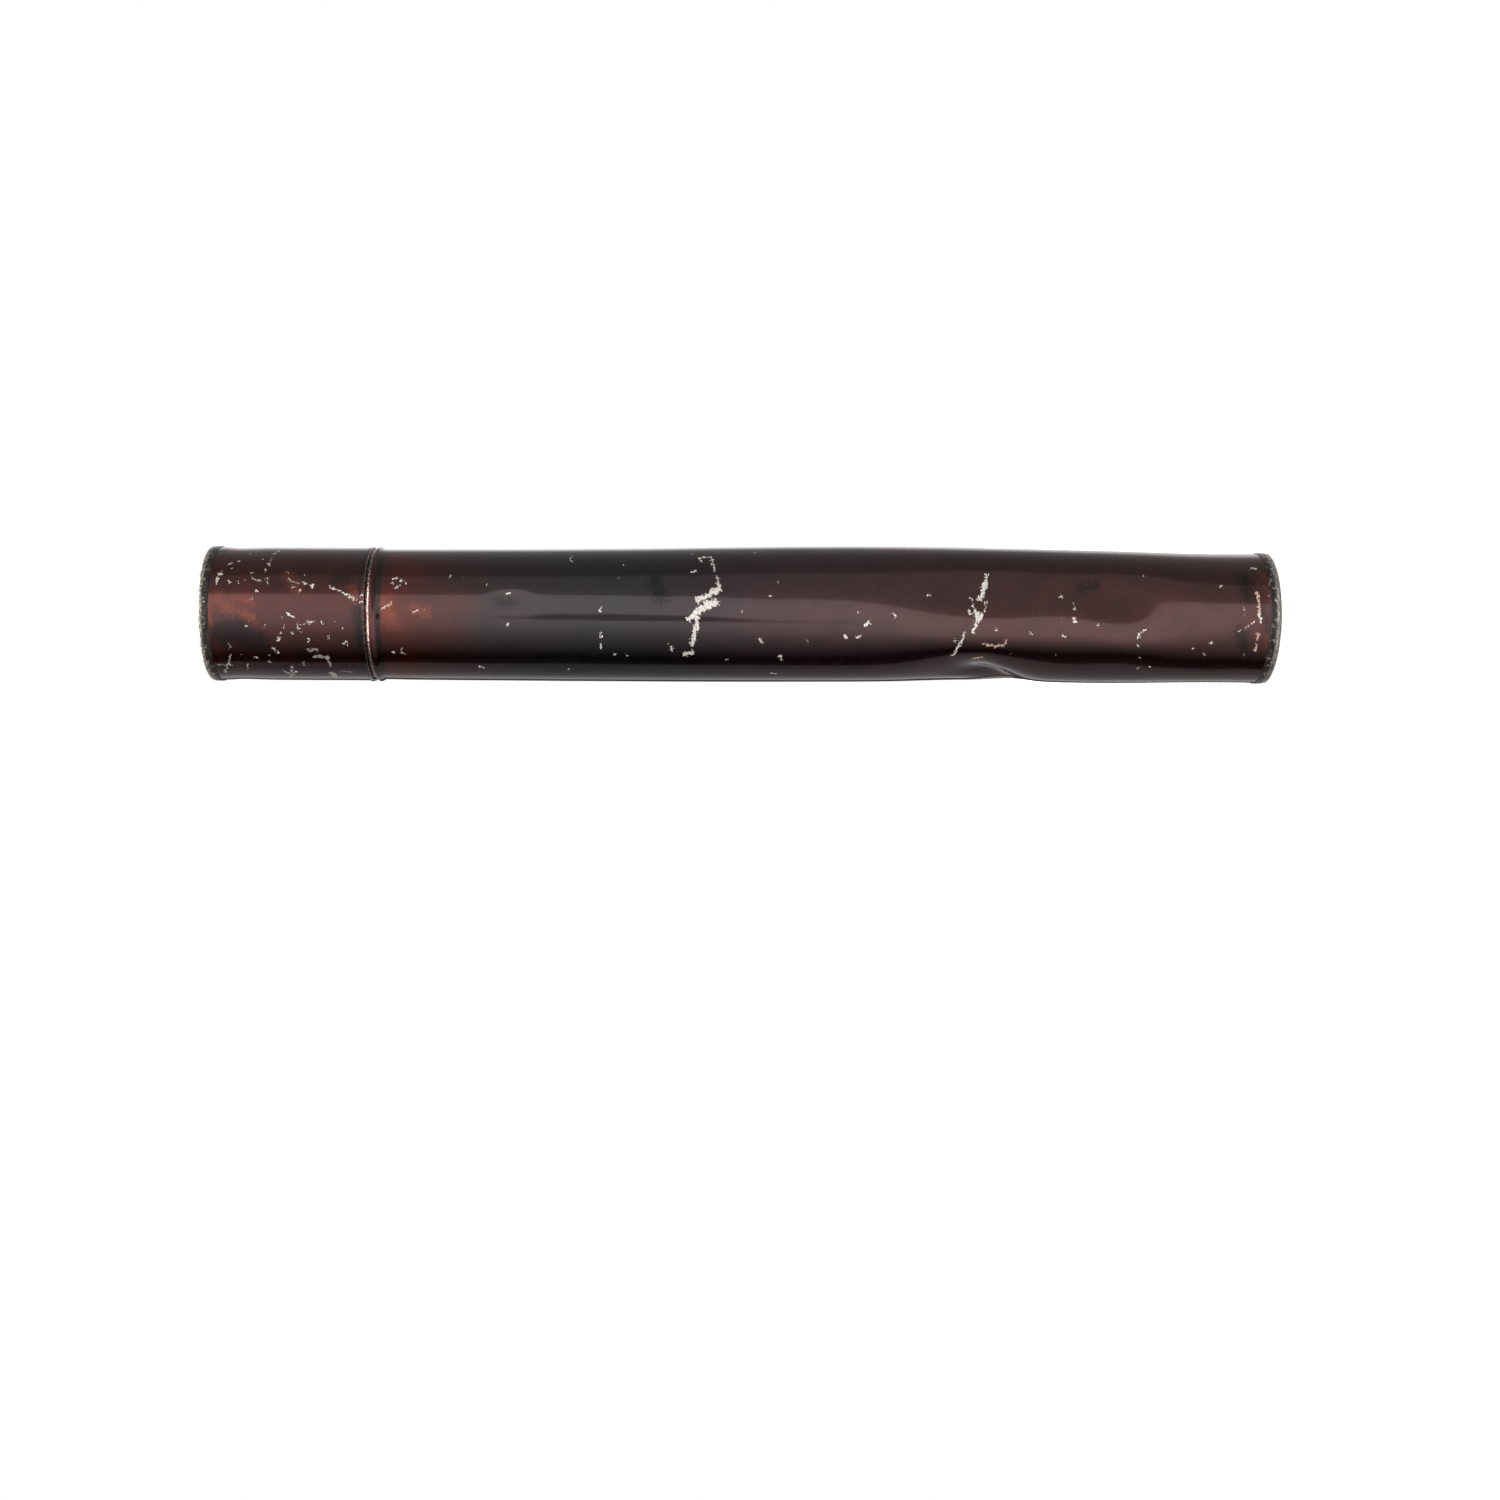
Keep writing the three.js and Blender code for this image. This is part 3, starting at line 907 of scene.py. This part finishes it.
def inside_tin():
    """The unlacquered inside: grey tin, dulled and spotted with brown."""
    material, finish = new_material("dull_tin_inside")
    spot = place_in_mm(finish)
    cloud = finish.grain(spot, 0.08, detail=5, roughness=0.65)
    spots = finish.grain(spot, 0.7, detail=5, roughness=0.7)
    colour = finish.tone(finish.between(cloud, 0.35, 0.7), INSIDE_TIN, INSIDE_TIN_DULL)
    rust = finish.between(spots, 0.6, 0.68)
    lay_surface(finish, {
        "Base Color": finish.tone(rust, colour, RUST),
        "Metallic": finish.rest(rust),
        "Roughness": finish.between(spots, 0.3, 0.7, 0.4, 0.6),
        "Normal": finish.bump(0.3, 0.0001, spots),
    })
    return material


# Pieces

def finished_piece(name, bm, body, node, materials):
    """Turns the mesh to metres, gives it its materials and lets it ride in place of its CAD solid."""
    bmesh.ops.recalc_face_normals(bm, faces=bm.faces)
    bmesh.ops.scale(bm, vec=(MM, MM, MM), verts=bm.verts)
    for face in bm.faces:
        face.smooth = True
    mesh = bpy.data.meshes.new(name)
    bm.to_mesh(mesh)
    bm.free()
    mesh.set_sharp_from_angle(angle=math.radians(SHARP_TURN))
    for material in materials:
        mesh.materials.append(material)
    piece = bpy.data.objects.new(name, mesh)
    bpy.context.scene.collection.objects.link(piece)
    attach(piece, body)
    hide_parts(node)


def spin_round(bm):
    """Spins the section that the mesh holds once round the axis."""
    bmesh.ops.spin(
        bm,
        geom=bm.verts[:] + bm.edges[:],
        cent=(0, 0, 0),
        axis=(0, 0, 1),
        dvec=(0, 0, 0),
        angle=2 * math.pi,
        steps=SPOKES,
        use_merge=True,
        use_normal_flip=False,
        use_duplicate=False,
    )
    bmesh.ops.remove_doubles(bm, verts=bm.verts, dist=MERGE_WITHIN)


def cut_at_turns(bm, turns):
    """Cuts the mesh through the axis, so that an edge of the seam has points of its own."""
    for turn in turns:
        across = Vector((math.cos(math.radians(turn)), math.sin(math.radians(turn)), 0))
        bmesh.ops.bisect_plane(
            bm,
            geom=bm.verts[:] + bm.edges[:] + bm.faces[:],
            dist=CUT_WITHIN,
            plane_co=(0, 0, 0),
            plane_no=across,
        )


def seam_turns(seam_turn, radius):
    """The turns at the two edges of a lap seam, each cut on both of its sides."""
    arcs = (-LAP_WIDTH - CUT_EDGE / 2, -LAP_WIDTH + CUT_EDGE / 2, -CUT_EDGE, 0)
    return [seam_turn + math.degrees(arc / radius) for arc in arcs]


def rolled_wall(radius, heights, cuts, seam_turn, inward, outside_at, shape_out, zones):
    """One rolled sheet.

    Its section is a strip one sheet thick, cut into stations, spun round and then shaped. Its finishes are
    numbered as wall_finishes makes them, with the inside last.
    """
    bm = bmesh.new()
    outer = [bm.verts.new((0, -radius, height)) for height in heights]
    inner = [bm.verts.new((0, -radius + SHEET, height)) for height in heights]
    bm.edges.new((outer[0], inner[0]))
    bm.edges.new((outer[-1], inner[-1]))
    stretches = []
    for i in range(len(heights) - 1):
        stretches.append([bm.edges.new(outer[i:i + 2]), bm.edges.new(inner[i:i + 2])])
    for stretch, count in zip(stretches, cuts):
        if count:
            bmesh.ops.subdivide_edges(bm, edges=stretch, cuts=count)
    spin_round(bm)
    cut_at_turns(bm, seam_turns(seam_turn, radius))

    inside = set()
    for vert in bm.verts:
        turn = turn_of(vert.co)
        height = vert.co.z
        is_outer = math.hypot(vert.co.x, vert.co.y) > radius - SHEET / 2
        if not is_outer:
            inside.add(vert)
        lap_outer, lap_inner = lap_shift(seam_turn, radius, inward, turn)
        out = outside_at(height) if is_outer else outside_at(height, inside=True) - SHEET
        new_radius = radius + out + (lap_outer if is_outer else lap_inner) + shape_out(turn, height)
        vert.co.x = new_radius * math.sin(math.radians(turn))
        vert.co.y = -new_radius * math.cos(math.radians(turn))

    back = len(zones) - 1
    for face in bm.faces:
        middle = face.calc_center_median()
        if all(vert in inside for vert in face.verts):
            face.material_index = back + 1
        elif abs(turn_of(middle)) > FRONT_HALF_TURN:
            face.material_index = back
        else:
            face.material_index = sum(1 for zone in zones[1:-1] if middle.z > zone)
    return bm


def hand_wave(turn, height, reach, size):
    """The small unevenness of a rolled sheet, drawn out along the tube. It only ever moves the wall in."""
    x = math.sin(math.radians(turn)) * BODY_RADIUS
    y = -math.cos(math.radians(turn)) * BODY_RADIUS
    return -size * 0.5 * (1 + noise.noise(Vector((x, y, height * WAVE_UP_TUBE)) / reach))


def bead_out(height, inside=False):
    """How far the bead stands out, which is the same inside and outside."""
    across = (height - BEAD_HEIGHT) / BEAD_WIDTH
    if abs(across) >= 0.5:
        return 0
    return BEAD_RISE * math.cos(math.pi * across) ** 2


def body_shape(turn, height):
    clear = clear_of_ends(height, CAP_SKIRT, BEAD_FOOT)
    out = bump_out(BODY_BUMPS, turn, height, CAP_SKIRT, BEAD_FOOT)
    out += clear * hand_wave(turn, height, *BODY_WAVE)
    out += clear * bump_out(SMALL_DENTS, turn, height, CAP_SKIRT, BEAD_FOOT)
    return out


def dent_in_picture(x, y, along, round_mm, push):
    """A small dent of the body's front, given by its place in the picture."""
    place = place_on_wall(x, y, BODY_RADIUS)
    turn = math.degrees(place.x / BODY_RADIUS)
    return (place.y, turn, along, math.degrees(round_mm / BODY_RADIUS), push)


SMALL_DENTS = [
    dent_in_picture(511, 598.5, 6.5, 3.4, -0.6),
    dent_in_picture(1090, 585, 9, 4, -0.14),
    dent_in_picture(984, 665, 4, 6, -0.4),
    dent_in_picture(1215, 668, 9, 4, -0.2),
    dent_in_picture(560, 664, 12, 4, -0.16),
    dent_in_picture(655, 592, 14, 6, -0.16),
]


def make_tube_wall(lacquers, inside):
    heights = [BODY_FOOT, BEAD_FOOT, BEAD_TOP, NECK_TOP]
    cuts = [round((BEAD_FOOT - BODY_FOOT) / STATION) - 1, BEAD_CUTS, NECK_CUTS]
    bm = rolled_wall(BODY_RADIUS, heights, cuts, BODY_SEAM_TURN, True, bead_out, body_shape, BODY_ZONES)
    finished_piece("tube_wall", bm, "body", "body_tube", [*lacquers, inside])


def hem_out(height, inside=False):
    """How far the hem stands out: the sheet is turned back on its outside, with a rounded lower edge."""
    if inside or height > HEM_TOP + ON_EDGE:
        return 0
    if height < LID_MOUTH + ON_EDGE:
        return SHEET / 2
    return SHEET


def lid_shape(turn, height):
    low, high = HEM_TOP, LID_TOP - CAP_SKIRT
    wave = clear_of_ends(height, low, high) * hand_wave(turn, height, *LID_WAVE)
    return bump_out(LID_BUMPS, turn, height, low, high) + wave


def make_lid_wall(lacquers, inside):
    heights = [LID_MOUTH, LID_MOUTH + SHEET / 2, HEM_TOP, HEM_TOP + CUT_EDGE, LID_CROWN]
    cuts = [0, 0, 0, round((LID_CROWN - HEM_TOP) / STATION) - 1]
    bm = rolled_wall(LID_RADIUS, heights, cuts, LID_SEAM_TURN, False, hem_out, lid_shape, LID_ZONES)
    finished_piece("lid_wall", bm, "lid", "lid_tube", [*lacquers, inside])


def ring(bm, across, deep):
    """The edges that lie round the axis at a distance from it and a depth."""
    def is_on(vert):
        off = math.hypot(vert.co.x, vert.co.y) - across
        return abs(off) < ON_EDGE and abs(vert.co.z - deep) < ON_EDGE
    return [edge for edge in bm.edges if is_on(edge.verts[0]) and is_on(edge.verts[1])]


def make_cap(name, body, node, wall_radius, outside, along, seam_turn, rim, inside):
    """A flanged cap with its solder: a spun disc and skirt, whose round corner is bevelled on."""
    skirt_inside = wall_radius + SOLDER_GAP
    skirt_outside = skirt_inside + SHEET
    section = [
        (0, 0),
        (skirt_outside, 0),
        (skirt_outside, CAP_SKIRT - SKIRT_EDGE_DEEP),
        (skirt_outside - SKIRT_EDGE_ACROSS, CAP_SKIRT),
        (skirt_inside + SOLDER_ON_EDGE, CAP_SKIRT),
        (wall_radius - SOLDER_INTO_WALL, CAP_SKIRT + SOLDER_FOOT),
        (wall_radius - SOLDER_INTO_WALL, CAP_SKIRT - SOLDER_AT_WALL),
        (skirt_inside, CAP_SKIRT - SOLDER_AT_SKIRT),
        (skirt_inside, SHEET),
        (0, SHEET),
    ]
    bm = bmesh.new()
    points = [bm.verts.new((0, -across, deep)) for across, deep in section]
    edges = [bm.edges.new(points[i:i + 2]) for i in range(len(points) - 1)]
    bmesh.ops.subdivide_edges(bm, edges=[edges[0], edges[-1]], cuts=DISC_CUTS)
    spin_round(bm)
    for across, deep, corner in ((skirt_outside, 0, CAP_CORNER), (skirt_inside, SHEET, CAP_CORNER - SHEET)):
        bmesh.ops.bevel(
            bm,
            geom=ring(bm, across, deep),
            offset=corner,
            offset_type="OFFSET",
            affect="EDGES",
            segments=CORNER_CUTS,
            profile=0.5,
            material=-1,
        )

    bmesh.ops.recalc_face_normals(bm, faces=bm.faces)
    for face in bm.faces:
        middle = face.calc_center_median()
        facing_in = face.normal.z > 0.9 and middle.z < CAP_SKIRT / 2
        facing_axis = face.normal.dot(Vector((middle.x, middle.y, 0))) < 0 and middle.z > SHEET / 3
        face.material_index = 1 if facing_in or facing_axis else 0

    for vert in bm.verts:
        across = math.hypot(vert.co.x, vert.co.y)
        wave = noise.noise(Vector((vert.co.x, vert.co.y, outside)) / CAP_WAVE_LENGTH)
        if across > wall_radius - SKIRT_REACH_IN:
            lap = 0 if along > 0 else lap_shift(seam_turn, wall_radius, False, turn_of(vert.co))[0]
            knock = SKIRT_KNOCK * (wave - 1) * smooth((CAP_SKIRT - vert.co.z) / SKIRT_KNOCK_REACH)
            scale = (across + lap + knock) / across
            vert.co.x *= scale
            vert.co.y *= scale
        else:
            inland = smooth((wall_radius - DISC_FLAT_EDGE - across) / DISC_WAVE_REACH)
            vert.co.z += DISC_WAVE * (1 + wave) * inland
        vert.co.z = outside + along * vert.co.z
    finished_piece(name, bm, body, node, [rim, inside])


# The studio: a pale floor, a softbox overhead, and what surrounds the tube

FLOOR_RADIUS = 0.8
FLOOR_DROP = 0.0002
FLOOR_SPOKES = 96
FLOOR_COLOUR = (0.93, 0.93, 0.925, 1)
SOFTBOX_SIDE = 1.6
SOFTBOX_HEIGHT = 1.7
SOFTBOX_WATTS = 60

# The surround as turns in degrees and brightness: a wide softbox in front, a dark gap on either side
# of it, and boards behind
SURROUND = [
    (-180, 0.06),
    (-159, 0.06),
    (-155, 0.62),
    (-132, 0.28),
    (-98.5, 0.25),
    (-96.5, 0.015),
    (-79, 0.015),
    (-60, 0.22),
    (-40, 0.52),
    (-28, 0.85),
    (-12, 1.22),
    (0, 1.3),
    (29.8, 1.34),
    (31.8, 0.5),
    (64, 0.46),
    (68, 0.24),
    (140, 0.3),
    (152, 0.95),
    (180, 0.95),
]
SURROUND_STRENGTH = 2
DOWNWARD_LEAN = 35

# The dark place in the front softbox where the picture was taken from, in degrees
LENS_TURN = -7.3
LENS_RISE = 1.9
LENS_HALF_TURN = 6.4
LENS_HALF_RISE = 4.6
LENS_DARKNESS = 0.85
LENS_BLACK = (0.01, 0.01, 0.01, 1)
OVERHEAD_GREY = (0.3, 0.3, 0.3, 1)


def make_floor():
    bm = bmesh.new()
    bmesh.ops.create_circle(bm, cap_ends=True, radius=FLOOR_RADIUS, segments=FLOOR_SPOKES)
    bmesh.ops.translate(bm, vec=(0, 0, -FLOOR_DROP), verts=bm.verts)
    mesh = bpy.data.meshes.new("floor")
    bm.to_mesh(mesh)
    bm.free()
    material, finish = new_material("pale_floor")
    lay_surface(finish, {"Base Color": FLOOR_COLOUR, "Roughness": 0.9, "Specular IOR Level": 0.1})
    mesh.materials.append(material)
    floor = bpy.data.objects.new("floor", mesh)
    bpy.context.scene.collection.objects.link(floor)
    floor.visible_glossy = False


def make_overhead_light():
    data = bpy.data.lights.new("overhead_softbox", "AREA")
    data.shape = "SQUARE"
    data.size = SOFTBOX_SIDE
    data.energy = SOFTBOX_WATTS
    light = bpy.data.objects.new("overhead_softbox", data)
    light.location = (0, 0, SOFTBOX_HEIGHT)
    light.visible_camera = False
    bpy.context.scene.collection.objects.link(light)


def set_world():
    world = bpy.data.worlds.new("studio")
    world.use_nodes = True
    world.node_tree.nodes.clear()
    studio = Finish(world.node_tree)
    sight = studio.put("ShaderNodeTexCoord").outputs["Generated"]
    parts = studio.put("ShaderNodeSeparateXYZ", {"Vector": sight}).outputs
    turn = studio.maths("ARCTAN2", parts["X"], studio.maths("MULTIPLY", parts["Y"], -1.0))
    turn = studio.product(turn, math.degrees(1))

    # The surround leans round as it goes down
    down = studio.most(studio.product(parts["Z"], -1.0), 0.0)
    leaned = studio.maths("ADD", turn, studio.product(down, float(DOWNWARD_LEAN)))
    stops = []
    for where, level in SURROUND:
        grey = level / SURROUND_STRENGTH
        stops.append(((where + 180) / 360, (grey, grey, grey, 1)))
    around = studio.ramp(studio.between(leaned, -180.0, 180.0, even=True), stops)

    rise = studio.product(studio.maths("ARCSINE", parts["Z"]), math.degrees(1))
    off_turn = studio.maths("DIVIDE", studio.maths("SUBTRACT", turn, LENS_TURN), LENS_HALF_TURN)
    off_rise = studio.maths("DIVIDE", studio.maths("SUBTRACT", rise, LENS_RISE), LENS_HALF_RISE)
    off_lens = studio.put("ShaderNodeCombineXYZ", {"X": off_turn, "Y": off_rise}).outputs[0]
    lens = studio.between(studio.vector("LENGTH", off_lens), 0.65, 1.15, 1.0, 0.0)
    around = studio.tone(studio.product(lens, LENS_DARKNESS), around, LENS_BLACK)
    steep = studio.between(studio.maths("ABSOLUTE", parts["Z"]), 0.7, 0.95)
    around = studio.tone(steep, around, OVERHEAD_GREY)

    # The tube is lit by the surround, and the picture's background is plain white
    lit = studio.put("ShaderNodeBackground", {"Color": around, "Strength": float(SURROUND_STRENGTH)})
    white = studio.put("ShaderNodeBackground", {"Color": (1, 1, 1, 1), "Strength": 1.0})
    seen = studio.put("ShaderNodeLightPath").outputs["Is Camera Ray"]
    mixed = studio.put("ShaderNodeMixShader", {0: seen, 1: lit.outputs[0], 2: white.outputs[0]})
    studio.put("ShaderNodeOutputWorld", {"Surface": mixed.outputs[0]})
    bpy.context.scene.world = world


body_lacquers = wall_finishes(
    "brown_japanning",
    BODY_ZONES,
    BODY_RADIUS,
    chips=BIG_FLAKE + DENT_SCRATCHES + BODY_CHIPS,
    rubs=COPPERY_RUBS,
    thin=BODY_THIN_LACQUER,
    stains_and_shade=BODY_STAINS_AND_PAINTED_SHADE,
    rub_tone=TIN_COPPERY,
    tones=BODY_TONES,
    low=0.0,
    high=float(BEAD_TOP),
    edge_wear=bead_neck_wear_and_shade,
)
lid_lacquers = wall_finishes(
    "red_brown_japanning",
    LID_ZONES,
    LID_RADIUS,
    chips=LID_CHIPS,
    rubs=LID_DULL_RUBS,
    thin=LID_THIN_LACQUER,
    stains_and_shade=LID_STAINS_AND_PAINTED_SHADE,
    rub_tone=TIN_DULL,
    tones=LID_TONES,
    low=float(LID_MOUTH),
    high=float(LID_TOP),
    edge_wear=hem_wear_and_shade,
)
tin_inside = inside_tin()
bottom_rim = rim_finish("bottom_rim_black", 0, 1)
top_rim = rim_finish("lid_rim_black", LID_TOP, -1)

make_tube_wall(body_lacquers, tin_inside)
make_lid_wall(lid_lacquers, tin_inside)
make_cap(
    "bottom_cap_shell", "body", "body_bottom_cap", BODY_RADIUS, 0, 1, BODY_SEAM_TURN, bottom_rim, tin_inside
)
make_cap("lid_cap_shell", "lid", "lid_top_cap", LID_RADIUS, LID_TOP, -1, LID_SEAM_TURN, top_rim, tin_inside)

make_floor()
make_overhead_light()
set_world()
set_camera()
bpy.context.scene.view_settings.view_transform = "Standard"
